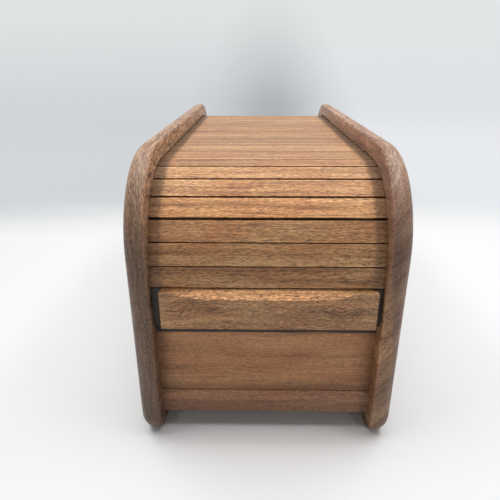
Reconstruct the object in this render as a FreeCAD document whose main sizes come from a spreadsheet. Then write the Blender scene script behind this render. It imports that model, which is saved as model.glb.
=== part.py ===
"""Tambour lid box: a wooden box for papers and keepsakes with a flexible slatted lid.

Two rounded sides carry everything. A groove is routed in their inner faces. It starts behind the
lid's front bar, goes up the front, round the front corner, along the top, round the back corner
and down the back, where it runs out at the foot so that the lid can be slid in when the box is
put together. The lid is a row of narrow slats glued to canvas. A tongue at each end of a slat
rides in the groove.

Frame: X to the right, Y to the back, Z up, origin on the table under the middle of the box.
All sizes are millimetres and live in the Sizes sheet. The lid's middle layer, where the canvas
bends without stretching, is called the bend line, and places along the lid are measured on it,
from the joint above the lead slat at 0 towards the back.
"""
import FreeCAD, Part
import math
import os
import Sketcher
from FreeCAD import Placement, Rotation, Vector

SLATS = 33       # behind the lead slat
FIRST_RUN = 8    # the first and the last slat that stay on the flat top while the lid slides
LAST_RUN = 22

doc = FreeCAD.newDocument("TambourBox")
sheet = doc.addObject("Spreadsheet::Sheet", "Sizes")

SIZES = [
    ("inside_width", 144.0, "between the inner faces of the sides"),
    ("side_thickness", 14.5, "side board"),
    ("side_depth", 392.0, "side board, front to back"),
    ("side_height", 195.0, "side board, table to top"),
    ("corner_radius", 62.0, "top corners of the side outline"),
    ("foot_radius", 17.0, "bottom corners of the side outline"),
    ("outer_round", 10.0, "rounding of the outer edge of a side"),
    ("inner_ease", 2.0, "easing of the inner edge of a side"),
    ("front_reveal", 6.0, "side edge to slat face, front and back"),
    ("top_reveal", 13.0, "side edge to slat face, top"),
    ("lid_radius", 61.0, "slat face round the corners"),
    ("lead_rise", 6.3, "from the joint above the lead slat up to where the lid starts to bend"),
    ("lead_top", "=side_height - top_reveal - lid_radius - lead_rise",
     "table to the joint above the lead slat"),
    ("bend_radius", "=lid_radius - slat_thickness - canvas_thickness / 2", "bend line round the corners"),
    ("top_run", "=side_depth - 2 * front_reveal - 2 * lid_radius", "straight part of the lid's top"),
    ("lid_tail", 7.785, "lid past the back corner, down the back"),
    ("slat_pitch", "=(lead_rise + pi * bend_radius + top_run + lid_tail) / %d" % SLATS,
     "slat to slat along the bend line"),
    ("slat_gap", 0.7, "saw gap between two slats"),
    ("slat_thickness", 4.5, "slat wood"),
    ("slat_ease", 0.4, "bevel on the long face edges of a slat"),
    ("slat_end_gap", 0.5, "slat end to the inner face of a side"),
    ("canvas_thickness", 0.5, "canvas with its glue"),
    ("canvas_margin", 8.0, "canvas edge to the inner face of a side"),
    ("tongue_width", 7.0, "tongue, along the lid"),
    ("tongue_thickness", 3.2, "tongue, through the lid"),
    ("tongue_round", 1.2, "rounding of the tongue's long edges"),
    ("tongue_end_gap", 1.0, "tongue end to the bottom of the groove"),
    ("groove_width", 6.4, "routed groove"),
    ("groove_depth", 6.0, "routed groove"),
    ("groove_end_gap", 0.3, "lead tongue to the lower end of the groove"),
    ("lead_height", 27.3, "lead slat"),
    ("pull_inset", 4.6, "end of the lead bar to the inner face of a side, on average"),
    ("pull_length", "=inside_width - 2 * pull_inset", "lead bar, side to side"),
    ("pull_thickness", 4.6, "lead bar, front to back"),
    ("pull_shift", 1.0, "lead bar, off centre to the right"),
    ("scoop_drop", 5.2, "finger scoop, down the front of the bar"),
    ("scoop_depth", 3.9, "finger scoop, into the top of the bar"),
    ("scoop_inset", 27.4, "end of the lead bar to where the scoop has its full depth"),
    ("scoop_length", "=pull_length - 2 * scoop_inset", "finger scoop at its full depth"),
    ("scoop_runout", 17.0, "finger scoop, each curved end"),
    ("panel_setback", 6.4, "slat face to the front panel"),
    ("panel_thickness", 9.6, "front panel"),
    ("panel_lap", 3.6, "front panel, up behind the lead slat"),
    ("rail_lift", 16.0, "table to the underside of the rails"),
    ("rail_height", 16.2, "front rail, at its back edge"),
    ("rail_setback", 3.2, "slat face to the front rail"),
    ("rail_thickness", 16.0, "front rail, front to back"),
    ("rail_ledge", 2.2, "drop of the front rail's sloped ledge"),
    ("board_thickness", 6.5, "bottom board"),
    ("board_lift", 4.5, "underside of the rails to the bottom board"),
    ("board_tongue", 6.0, "bottom board into each rail"),
    ("inner_back_gap", 8.0, "slat face to the inner back"),
    ("inner_back_thickness", 6.0, "inner back"),
    ("back_rail_thickness", 14.0, "back rail, front to back"),
    ("housing_depth", 4.0, "housings in the sides for panel, rails and boards"),
    ("fit_gap", 0.1, "play of a board in its housing"),
    ("stop_diameter", 6.0, "stop dowel"),
    ("lid_travel", 60.0, "how far the lid slides open"),
]
for row, (alias, value, note) in enumerate(SIZES, start=1):
    sheet.set("A%d" % row, note)
    sheet.setAlias("B%d" % row, alias)
for row, (alias, value, note) in enumerate(SIZES, start=1):
    sheet.set("B%d" % row, str(value))
doc.recompute()


def size(alias):
    """The number in the sheet's cell."""
    return float(sheet.get(alias))


def bind(thing, prop, formula):
    """Binds a property to a formula; a name in <> is a cell of the sheet."""
    thing.setExpression(prop, formula.replace("<", "Sizes.").replace(">", ""))


def worth(formula):
    """What a formula comes to now, for a sketch's first guess."""
    return float(sheet.evalExpression(formula.replace("<", "Sizes.").replace(">", "")))


# Places that follow from the sizes

HALF_DEPTH = size("side_depth") / 2
HALF_INSIDE = size("inside_width") / 2
SLAT_DEPTH = size("slat_thickness") + size("canvas_thickness") / 2
TONGUE_DEPTH = size("slat_thickness") / 2
FACE_Y = -HALF_DEPTH + size("front_reveal")
FACE_TOP = size("side_height") - size("top_reveal")
CORNER_Y = FACE_Y + size("lid_radius")
CORNER_Z = FACE_TOP - size("lid_radius")
BEND_RADIUS = size("bend_radius")
RISE = size("lead_rise")
ARC = BEND_RADIUS * math.pi / 2
RUN = size("top_run")


def bend_line(place):
    """Point (y, z) and heading at a place on the bend line; heading 0 is up, a quarter turn is back."""
    if place <= RISE:
        return CORNER_Y - BEND_RADIUS, size("lead_top") + place, 0.0
    place -= RISE
    if place <= ARC:
        turn = place / BEND_RADIUS
        return CORNER_Y - BEND_RADIUS * math.cos(turn), CORNER_Z + BEND_RADIUS * math.sin(turn), turn
    place -= ARC
    if place <= RUN:
        return CORNER_Y + place, CORNER_Z + BEND_RADIUS, math.pi / 2
    place -= RUN
    if place <= ARC:
        turn = place / BEND_RADIUS
        return (-CORNER_Y + BEND_RADIUS * math.sin(turn), CORNER_Z + BEND_RADIUS * math.cos(turn),
                math.pi / 2 + turn)
    place -= ARC
    return -CORNER_Y + BEND_RADIUS, CORNER_Z - place, math.pi


def seat(start, end):
    """Placement of a stiff slat whose bend line is the chord between two places along the lid."""
    y1, z1, _ = bend_line(start)
    y2, z2, _ = bend_line(end)
    heading = math.atan2(y2 - y1, z2 - z1)
    turned = Rotation(Vector(1, 0, 0), -math.degrees(heading))
    return Placement(Vector(0, (y1 + y2) / 2, (z1 + z2) / 2), turned)


# Helpers for bodies

def new_body(name):
    body = doc.addObject("PartDesign::Body", name)
    body.Label = name
    return body


def plane(body, role):
    return next(part for part in body.Origin.OriginFeatures if part.Role == role)


def ends(corners, index):
    """Which end of edge number index is its start and which its end, in Sketcher's own counting."""
    bulge = corners[index % len(corners)][2]
    return (2, 1) if bulge is not None and bulge[1] == "right" else (1, 2)


def arc_between(here, there, radius, side):
    """Arc of under half a turn with its centre to the left or the right of the way along it."""
    chord = there - here
    middle = (here + there) * 0.5
    lift = math.sqrt(max(radius ** 2 - (chord.Length / 2) ** 2, 0.0))
    across = Vector(-chord.y, chord.x, 0).normalize()
    centre = middle + across * (lift if side == "left" else -lift)
    first, last = (here, there) if side == "left" else (there, here)
    angles = [math.atan2(p.y - centre.y, p.x - centre.x) for p in (first, last)]
    return Part.ArcOfCircle(Part.Circle(centre, Vector(0, 0, 1), radius), *angles)


def outline(body, name, corners):
    """A closed sketch on the body's YZ plane. Each corner is (y, z, bulge) as formulas: bulge is
    None for a straight edge to the next corner, or (radius, side of the centre) for an arc."""
    sketch = body.newObject("Sketcher::SketchObject", name)
    sketch.AttachmentSupport = [(plane(body, "YZ_Plane"), "")]
    sketch.MapMode = "FlatFace"
    count = len(corners)
    points = [Vector(worth(y), worth(z), 0) for y, z, _ in corners]
    for index, (_, _, bulge) in enumerate(corners):
        here, there = points[index], points[(index + 1) % count]
        if bulge is None:
            sketch.addGeometry(Part.LineSegment(here, there), False)
        else:
            sketch.addGeometry(arc_between(here, there, worth(bulge[0]), bulge[1]), False)
    for index, (y, z, bulge) in enumerate(corners):
        start = ends(corners, index)[0]
        before = ends(corners, index - 1)[1]
        sketch.addConstraint(Sketcher.Constraint("Coincident", (index - 1) % count, before, index, start))
        for kind, formula in (("DistanceX", y), ("DistanceY", z)):
            rule = Sketcher.Constraint(kind, -1, 1, index, start, worth(formula))
            bind(sketch, "Constraints[%d]" % sketch.addConstraint(rule), formula)
        if bulge is not None:
            rule = Sketcher.Constraint("Radius", index, worth(bulge[0]))
            bind(sketch, "Constraints[%d]" % sketch.addConstraint(rule), bulge[0])
    return sketch


def pad(body, name, profile, length, side="Symmetric"):
    """Thickens a sketch along X: to both sides alike, or to +X or -X only."""
    feature = body.newObject("PartDesign::Pad", name)
    feature.Profile = profile
    feature.SideType = "Symmetric" if side == "Symmetric" else "One side"
    feature.Reversed = side == "-X"
    bind(feature, "Length", length)
    return feature


def cut(body, name, profile, depth, side):
    """Cuts a sketch into the body along +X or -X and checks that it took wood away."""
    doc.recompute()
    before = body.Shape.Volume
    feature = body.newObject("PartDesign::Pocket", name)
    feature.Profile = profile
    feature.Reversed = side == "+X"
    bind(feature, "Length", depth)
    doc.recompute()
    if body.Shape.Volume > before - 1:
        raise RuntimeError("the cut %s missed the wood" % name)
    return feature


def rectangle(y1, z1, y2, z2):
    return [(y1, z1, None), (y2, z1, None), (y2, z2, None), (y1, z2, None)]


def soften(body, name, base, edges, radius, kind="PartDesign::Fillet", amount="Radius"):
    feature = body.newObject(kind, name)
    feature.Base = (base, edges)
    bind(feature, amount, radius)
    return feature


def board(name, x, y, z, width, depth, height):
    """A square board from formulas: the middle of its width at x, its front at y, its foot at z."""
    box = doc.addObject("Part::Box", name)
    box.Label = name
    for prop, formula in (("Length", width), ("Width", depth), ("Height", height),
                          ("Placement.Base.x", "%s - (%s) / 2" % (x, width)),
                          ("Placement.Base.y", y), ("Placement.Base.z", z)):
        bind(box, prop, formula)
    return box


# Formulas shared by pieces that meet

FRONT = "(<front_reveal> - <side_depth> / 2)"
FACE_BACK = "(<side_depth> / 2 - <front_reveal>)"
TOP = "(<side_height> - <top_reveal>)"
CORNER = "(%s - <lid_radius>)" % TOP
PANEL_Y = "(%s + <panel_setback>)" % FRONT
RAIL_Y = "(%s + <rail_setback>)" % FRONT
RAIL_BACK = "(%s + <rail_thickness>)" % RAIL_Y
RAIL_TOP = "(<rail_lift> + <rail_height>)"
PANEL_TOP = "(<lead_top> - <lead_height> + <panel_lap>)"
BOARD_Z = "(<rail_lift> + <board_lift>)"
INNER_BACK_Y = "(%s - <inner_back_gap> - <inner_back_thickness>)" % FACE_BACK
BACK_RAIL_Y = "(%s - <inner_back_gap> - <back_rail_thickness>)" % FACE_BACK
BETWEEN = "(<inside_width> + 2 * <housing_depth> - 2 * <fit_gap>)"
FACE_DEPTH = "(<slat_thickness> + <canvas_thickness> / 2)"
SLAT_WIDTH = "(<slat_pitch> - <slat_gap>)"


def side(name, hand):
    """One side board: hand is 1 for the right side and -1 for the left."""
    body = new_body(name)
    half, foot, top = "<side_depth> / 2", "<foot_radius>", "<side_height>"
    shoulder = "<corner_radius>"
    shape = outline(body, name + "_outline", [
        ("-%s + %s" % (half, foot), "0", None),
        ("%s - %s" % (half, foot), "0", (foot, "left")),
        (half, foot, None),
        (half, "%s - %s" % (top, shoulder), (shoulder, "left")),
        ("%s - %s" % (half, shoulder), top, None),
        ("-%s + %s" % (half, shoulder), top, (shoulder, "left")),
        ("-(%s)" % half, "%s - %s" % (top, shoulder), None),
        ("-(%s)" % half, foot, (foot, "left")),
    ])
    away = "+X" if hand > 0 else "-X"
    blank = pad(body, name + "_blank", shape, "<side_thickness>", away)
    doc.recompute()
    outer_x = hand * size("side_thickness")
    rounds = face_edges(blank, outer_x)
    rounded = soften(body, name + "_outer_round", blank, rounds, "<outer_round>")
    doc.recompute()
    eased = soften(body, name + "_inner_ease", rounded, face_edges(rounded, 0.0), "<inner_ease>")
    doc.recompute()

    near = "(<slat_thickness> / 2 - <groove_width> / 2)"
    far = "(<slat_thickness> / 2 + <groove_width> / 2)"
    half_groove = "(<groove_width> / 2)"
    reach = "(<lid_radius> - %s)"
    lower = "(<lead_top> - <lead_height> / 2 - <tongue_width> / 2 - <groove_end_gap>)"
    groove = outline(body, name + "_groove_line", [
        ("%s + %s" % (FRONT, near), "%s + %s" % (lower, half_groove), (half_groove, "left")),
        ("%s + <slat_thickness> / 2" % FRONT, lower, (half_groove, "left")),
        ("%s + %s" % (FRONT, far), "%s + %s" % (lower, half_groove), None),
        ("%s + %s" % (FRONT, far), CORNER, (reach % far, "right")),
        ("%s + <lid_radius>" % FRONT, "%s - %s" % (TOP, far), None),
        ("%s - <lid_radius>" % FACE_BACK, "%s - %s" % (TOP, far), (reach % far, "right")),
        ("%s - %s" % (FACE_BACK, far), CORNER, None),
        ("%s - %s" % (FACE_BACK, far), "-1", None),
        ("%s - %s" % (FACE_BACK, near), "-1", None),
        ("%s - %s" % (FACE_BACK, near), CORNER, (reach % near, "left")),
        ("%s - <lid_radius>" % FACE_BACK, "%s - %s" % (TOP, near), None),
        ("%s + <lid_radius>" % FRONT, "%s - %s" % (TOP, near), (reach % near, "left")),
        ("%s + %s" % (FRONT, near), CORNER, None),
    ])
    cut(body, name + "_groove", groove, "<groove_depth>", away)

    housings = {
        "front_panel": (PANEL_Y, RAIL_TOP, "%s + <panel_thickness>" % PANEL_Y, PANEL_TOP),
        "front_rail": (RAIL_Y, "<rail_lift>", RAIL_BACK, RAIL_TOP),
        "bottom_board": (RAIL_BACK, BOARD_Z, BACK_RAIL_Y, "%s + <board_thickness>" % BOARD_Z),
        "back_rail": (BACK_RAIL_Y, "<rail_lift>", "%s + <back_rail_thickness>" % BACK_RAIL_Y, RAIL_TOP),
        "inner_back": (INNER_BACK_Y, RAIL_TOP, "%s + <inner_back_thickness>" % INNER_BACK_Y, CORNER),
    }
    for piece, (y1, z1, y2, z2) in housings.items():
        room = rectangle("%s - <fit_gap>" % y1, "%s - <fit_gap>" % z1,
                         "%s + <fit_gap>" % y2, "%s + <fit_gap>" % z2)
        pocket = outline(body, "%s_housing_of_%s" % (name, piece), room)
        cut(body, "%s_cut_for_%s" % (name, piece), pocket, "<housing_depth>", away)
    bind(body, "Placement.Base.x", "%d * <inside_width> / 2" % hand)


def face_edges(feature, x):
    """Names of the edges that lie wholly in the plane at x."""
    return ["Edge%d" % number for number, edge in enumerate(feature.Shape.Edges, start=1)
            if abs(edge.BoundBox.XMin - x) < 1e-6 and abs(edge.BoundBox.XMax - x) < 1e-6]


def slat_section(width):
    """Outline of a slat across the grain, with the bend line at y = 0 and the face at -y."""
    half, face, back = "(%s) / 2" % width, FACE_DEPTH, "<canvas_thickness> / 2"
    return [
        ("-%s" % back, "-%s" % half, None),
        ("-%s" % back, half, None),
        ("-%s + <slat_ease>" % face, half, None),
        ("-%s" % face, "%s - <slat_ease>" % half, None),
        ("-%s" % face, "-%s + <slat_ease>" % half, None),
        ("-%s + <slat_ease>" % face, "-%s" % half, None),
    ]


def tongue_section():
    """Outline of the tongues, round edged, in the middle of the slat's thickness."""
    middle = "(-<canvas_thickness> / 2 - <slat_thickness> / 2)"
    across, along, soft = "<tongue_thickness> / 2", "<tongue_width> / 2", "<tongue_round>"
    corner = (soft, "left")
    return [
        ("%s - %s + %s" % (middle, across, soft), "-%s" % along, None),
        ("%s + %s - %s" % (middle, across, soft), "-%s" % along, corner),
        ("%s + %s" % (middle, across), "-%s + %s" % (along, soft), None),
        ("%s + %s" % (middle, across), "%s - %s" % (along, soft), corner),
        ("%s + %s - %s" % (middle, across, soft), along, None),
        ("%s - %s + %s" % (middle, across, soft), along, corner),
        ("%s - %s" % (middle, across), "%s - %s" % (along, soft), None),
        ("%s - %s" % (middle, across), "-%s + %s" % (along, soft), corner),
    ]


def slat(name, width, start, end):
    """A slat with its two tongues, seated between two places along the lid."""
    body = new_body(name)
    section = outline(body, name + "_section", slat_section(width))
    pad(body, name + "_board", section, "<inside_width> - 2 * <slat_end_gap>")
    tongues = outline(body, name + "_tongue", tongue_section())
    pad(body, name + "_tongues", tongues,
        "<inside_width> + 2 * <groove_depth> - 2 * <tongue_end_gap>")
    body.Placement = seat(start, end)


def canvas(name, start, formula):
    """Canvas glued behind the slats from a place along the lid, for the length that formula gives,
    less a saw gap."""
    end = start + worth(formula)
    length = end - start - size("slat_gap")
    sheet_box = doc.addObject("Part::Box", name)
    sheet_box.Label = name
    bind(sheet_box, "Length", "<inside_width> - 2 * <canvas_margin>")
    bind(sheet_box, "Width", "<canvas_thickness>")
    bind(sheet_box, "Height", "%s - <slat_gap>" % formula)
    corner = Vector(-size("inside_width") / 2 + size("canvas_margin"),
                    -size("canvas_thickness") / 2, -length / 2)
    place = seat(start, end)
    sheet_box.Placement = Placement(place.multVec(corner), place.Rotation)


def lead_bar():
    """The pull on the lead slat: a bar with a scoop along its top front edge for the fingers."""
    length, thickness = size("pull_length"), size("pull_thickness")
    height = size("lead_height") - size("slat_gap")
    top = size("lead_top") - size("slat_gap") / 2
    bar = Part.makeBox(length, thickness, height,
                       Vector(size("pull_shift") - length / 2, FACE_Y - thickness, top - height))
    full, runout = size("scoop_length") / 2, size("scoop_runout")
    front = FACE_Y - thickness
    faint = 0.02   # how much of the scoop is left where it runs out
    past = 1.0     # how far the cutting shape stands out of the bar
    sections = []
    for x, share in ((-full - runout, faint), (-full, 1.0), (full, 1.0), (full + runout, faint)):
        drop, depth = size("scoop_drop") * share, size("scoop_depth") * share
        rise = past * drop / depth
        low = Vector(x, front - past, top - drop - rise)
        back = Vector(x, front + depth, top)
        over = Vector(x, front + depth + past, top + rise)
        out = Vector(x, front - past, top + rise)
        sections.append(Part.makePolygon([low, back, over, out, low]))
    scoop = Part.makeLoft(sections, True, True)
    bar = bar.cut(scoop)
    piece = doc.addObject("Part::Feature", "lead_bar")
    piece.Label = "lead_bar"
    piece.Shape = bar.removeSplitter()


def rails():
    """Front rail with its sloped ledge, and the plain back rail; both take the bottom board."""
    slope = "<panel_setback> - <rail_setback>"
    groove_top = "%s + <board_thickness> + <fit_gap>" % BOARD_Z
    front = new_body("front_rail")
    section = outline(front, "front_rail_section", [
        (RAIL_Y, "<rail_lift>", None),
        (RAIL_BACK, "<rail_lift>", None),
        (RAIL_BACK, "%s - <fit_gap>" % BOARD_Z, None),
        ("%s - <board_tongue> - <fit_gap>" % RAIL_BACK, "%s - <fit_gap>" % BOARD_Z, None),
        ("%s - <board_tongue> - <fit_gap>" % RAIL_BACK, groove_top, None),
        (RAIL_BACK, groove_top, None),
        (RAIL_BACK, RAIL_TOP, None),
        ("%s + %s" % (RAIL_Y, slope), RAIL_TOP, None),
        (RAIL_Y, "%s - <rail_ledge>" % RAIL_TOP, None),
    ])
    pad(front, "front_rail_board", section, BETWEEN)
    back = new_body("back_rail")
    section = outline(back, "back_rail_section", [
        (BACK_RAIL_Y, "<rail_lift>", None),
        ("%s + <back_rail_thickness>" % BACK_RAIL_Y, "<rail_lift>", None),
        ("%s + <back_rail_thickness>" % BACK_RAIL_Y, RAIL_TOP, None),
        (BACK_RAIL_Y, RAIL_TOP, None),
        (BACK_RAIL_Y, groove_top, None),
        ("%s + <board_tongue> + <fit_gap>" % BACK_RAIL_Y, groove_top, None),
        ("%s + <board_tongue> + <fit_gap>" % BACK_RAIL_Y, "%s - <fit_gap>" % BOARD_Z, None),
        (BACK_RAIL_Y, "%s - <fit_gap>" % BOARD_Z, None),
    ])
    pad(back, "back_rail_board", section, BETWEEN)


def stops():
    """Two dowels across the groove at the back, where the last tongue comes to rest."""
    last_tongue = (SLATS - 0.5) * size("slat_pitch") + size("tongue_width") / 2
    y, z, _ = bend_line(last_tongue + size("lid_travel") + size("groove_end_gap"))
    dowels = []
    for hand in (-1, 1):
        dowel = doc.addObject("Part::Cylinder", "stop_%s" % ("left" if hand < 0 else "right"))
        bind(dowel, "Radius", "<stop_diameter> / 2")
        bind(dowel, "Height", "<groove_depth>")
        start = hand * HALF_INSIDE - (size("groove_depth") if hand < 0 else 0.0)
        centre = Vector(start, y + SLAT_DEPTH - TONGUE_DEPTH, z - size("stop_diameter") / 2)
        dowel.Placement = Placement(centre, Rotation(Vector(0, 1, 0), 90))
        dowels.append(dowel)
    pair = doc.addObject("Part::Compound", "lid_stops")
    pair.Label = "lid_stops"
    pair.Links = dowels


# The case

side("right_side", 1)
side("left_side", -1)
board("front_panel", "0", PANEL_Y, RAIL_TOP, BETWEEN, "<panel_thickness>",
      "%s - %s" % (PANEL_TOP, RAIL_TOP))
rails()
board("bottom_board", "0", "%s - <board_tongue>" % RAIL_BACK, BOARD_Z,
      BETWEEN, "%s - %s + 2 * <board_tongue>" % (BACK_RAIL_Y, RAIL_BACK), "<board_thickness>")
board("inner_back", "0", INNER_BACK_Y, RAIL_TOP, BETWEEN, "<inner_back_thickness>",
      "%s - %s" % (CORNER, RAIL_TOP))
stops()

# The lid: the lead slat with its bar, then slat after slat round to the back

slat("lead_slat", "<lead_height> - <slat_gap>", -size("lead_height"), 0.0)
lead_bar()
for number in range(1, SLATS + 1):
    slat("slat_%02d" % number, SLAT_WIDTH, (number - 1) * size("slat_pitch"), number * size("slat_pitch"))

# The canvas is cut where the lid bends over the front corner, and whole along the top run

canvas("canvas_lead", -size("lead_height"), "<lead_height>")
for number in range(1, FIRST_RUN):
    canvas("canvas_%02d" % number, (number - 1) * size("slat_pitch"), "<slat_pitch>")
canvas("canvas_run", (FIRST_RUN - 1) * size("slat_pitch"), "%d * <slat_pitch>" % (LAST_RUN - FIRST_RUN + 1))

doc.recompute()
for thing in doc.Objects:
    if {"Invalid", "Error"} & set(thing.State):
        raise RuntimeError("%s failed to build" % thing.Label)

# One file for each piece

PIECES = [thing for thing in doc.Objects if not thing.InList and hasattr(thing, "Shape")
          and thing.TypeId in ("PartDesign::Body", "Part::Box", "Part::Feature", "Part::Compound")]
os.makedirs("parts", exist_ok=True)
for piece in PIECES:
    if piece.Shape.isNull() or not piece.Shape.isValid():
        raise RuntimeError("%s has no sound shape" % piece.Label)
for piece in PIECES:
    piece.Shape.exportStep("parts/%s.step" % piece.Label)
print("%d pieces, slat pitch %.4f mm, lead top %.3f mm" % (len(PIECES), size("slat_pitch"), size("lead_top")))
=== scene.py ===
# %% [markdown]
# # A tambour lid box
# A desk box in oiled walnut. Two thick rounded sides hold a lid made of narrow slats, glued to
# canvas and running in grooves, so the lid slides up over the front corner and back along the top.
# The machined model comes in first and stays where it is. Everything below dresses it, in metres
# and in the same frame: X to the right, Y to the back, Z up, the table at zero.

# %% The frame
import math

import bmesh
import bpy
import numpy as np
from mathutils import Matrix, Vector


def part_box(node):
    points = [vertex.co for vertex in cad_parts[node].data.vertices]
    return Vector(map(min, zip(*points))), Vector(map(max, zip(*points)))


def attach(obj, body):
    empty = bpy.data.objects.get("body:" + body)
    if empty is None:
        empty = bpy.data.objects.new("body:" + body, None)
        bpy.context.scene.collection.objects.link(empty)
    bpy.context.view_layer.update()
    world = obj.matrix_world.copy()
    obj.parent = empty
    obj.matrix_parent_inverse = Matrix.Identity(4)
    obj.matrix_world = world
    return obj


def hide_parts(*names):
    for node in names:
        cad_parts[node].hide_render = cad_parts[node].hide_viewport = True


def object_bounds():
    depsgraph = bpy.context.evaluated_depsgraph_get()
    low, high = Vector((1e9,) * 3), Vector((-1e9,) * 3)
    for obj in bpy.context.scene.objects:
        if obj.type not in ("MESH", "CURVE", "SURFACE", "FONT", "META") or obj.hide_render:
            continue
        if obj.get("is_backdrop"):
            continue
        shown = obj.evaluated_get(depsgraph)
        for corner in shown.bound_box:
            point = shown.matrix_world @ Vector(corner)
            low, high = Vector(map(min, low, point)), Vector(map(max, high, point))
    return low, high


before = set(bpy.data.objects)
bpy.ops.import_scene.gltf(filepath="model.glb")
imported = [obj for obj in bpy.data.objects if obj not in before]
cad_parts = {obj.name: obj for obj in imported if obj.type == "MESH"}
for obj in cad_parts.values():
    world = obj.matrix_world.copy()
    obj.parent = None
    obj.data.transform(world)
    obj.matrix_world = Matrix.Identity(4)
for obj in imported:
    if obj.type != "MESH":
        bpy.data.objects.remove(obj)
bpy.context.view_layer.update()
MM = 0.001

# %% [markdown]
# ## Camera
# The photograph was taken with a wide phone lens, close to the front and a little above the lid.
# The sides lean together towards the foot and the top shrinks quickly, so both the place and the
# lens matter. They were solved from the ends of the slat joints: a quarter of a metre in front of
# the lid and as high above the table, looking 22.5 degrees down, with a lens of 33 mm on a 36 mm
# sensor.

# %% Camera
CAMERA_MM = (-6.3, -442.7, 245.2)
LOOKING_DOWN, TURNED, ROLLED = [math.radians(angle) for angle in (22.54, 0.888, 0.09)]
SENSOR_MM, FOCAL_PX, PHOTO_PX = 36.0, 460, 500

lens = bpy.data.cameras.new("camera")
lens.sensor_width = SENSOR_MM
lens.lens = SENSOR_MM * FOCAL_PX / PHOTO_PX
lens.clip_start, lens.clip_end = 0.01, 20.0
camera = bpy.data.objects.new("camera", lens)
camera.location = [place * MM for place in CAMERA_MM]
camera.rotation_euler = (math.pi / 2 - LOOKING_DOWN, ROLLED, TURNED)
bpy.context.scene.collection.objects.link(camera)
bpy.context.scene.camera = camera
print("lens in mm:", round(lens.lens, 1))

# %% [markdown]
# ## Colour and nodes
# Colours are read off a chart as hex values, the way a screen shows them. Blender's shaders want
# linear light, so one function converts every colour. A second one adds a node, fills its inputs
# with numbers or links, and returns the output that the next node needs.

# %% Colour and node helpers


def colour(code):
    """Hex sRGB to linear: c / 12.92 up to 0.04045, else ((c + 0.055) / 1.055) to the power 2.4."""
    values = np.array([int(code[i:i + 2], 16) for i in (1, 3, 5)]) / 255
    linear = np.where(values <= 0.04045, values / 12.92, ((values + 0.055) / 1.055) ** 2.4)
    return (*[float(value) for value in linear], 1.0)


def add(tree, kind, inputs=None, out=0, stops=None, **settings):
    """Adds one node and returns its output number, or name, out. Inputs are numbers, colours or
    sockets to link. A colour ramp's stops are (place, hex) pairs in rising order."""
    made = tree.nodes.new(kind)
    for key, value in settings.items():
        setattr(made, key, value)
    if stops:
        ramp = made.color_ramp.elements
        ramp[0].position, ramp[0].color = stops[0][0], colour(stops[0][1])
        ramp[1].position, ramp[1].color = stops[-1][0], colour(stops[-1][1])
        for place, shade in stops[1:-1]:
            ramp.new(place).color = colour(shade)
    for key, value in (inputs or {}).items():
        if isinstance(value, bpy.types.NodeSocket):
            tree.links.new(value, made.inputs[key])
        else:
            made.inputs[key].default_value = value
    return made.outputs[out]


def new_material(name):
    """An empty material with its Principled shader; returns the material, its tree and the shader."""
    made = bpy.data.materials.new(name)
    made.use_nodes = True
    return made, made.node_tree, made.node_tree.nodes["Principled BSDF"]


# %% [markdown]
# ## Oiled walnut
# The box is solid walnut, planed and sanded, then rubbed with oil, so it is satin and not glossy.
# Three things give walnut its look: broad bands of lighter and darker growth, fine streaks, and
# open pores that show as short dark dashes along the grain. All three are the same noise at
# different sizes, stretched along the grain. The wood has its own axes: along the grain, through
# the growth layers, and along the layers. A board cut across the grain then shows end grain by
# itself, as on the rounded fronts of the sides.
# Real pores are about 0.2 mm wide. That is under half a pixel here, so they are drawn about 0.36 mm
# wide. Dried oil is what the light meets first, so its IOR is used for the wood.

# %% Oiled walnut
OIL_IOR = 1.47
RED_HEART = "#DDA074"
PORE_WIDTH, FLECK_WIDTH, PORE_RELIEF = 0.36, 0.38, 0.22
WANDER_SIZE, GROWTH_LENGTH, STREAK_SIZE, PATCH_SIZE = (70, 30, 45), (220, 60), (30, 0.8, 6), (42, 18, 24)


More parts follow.
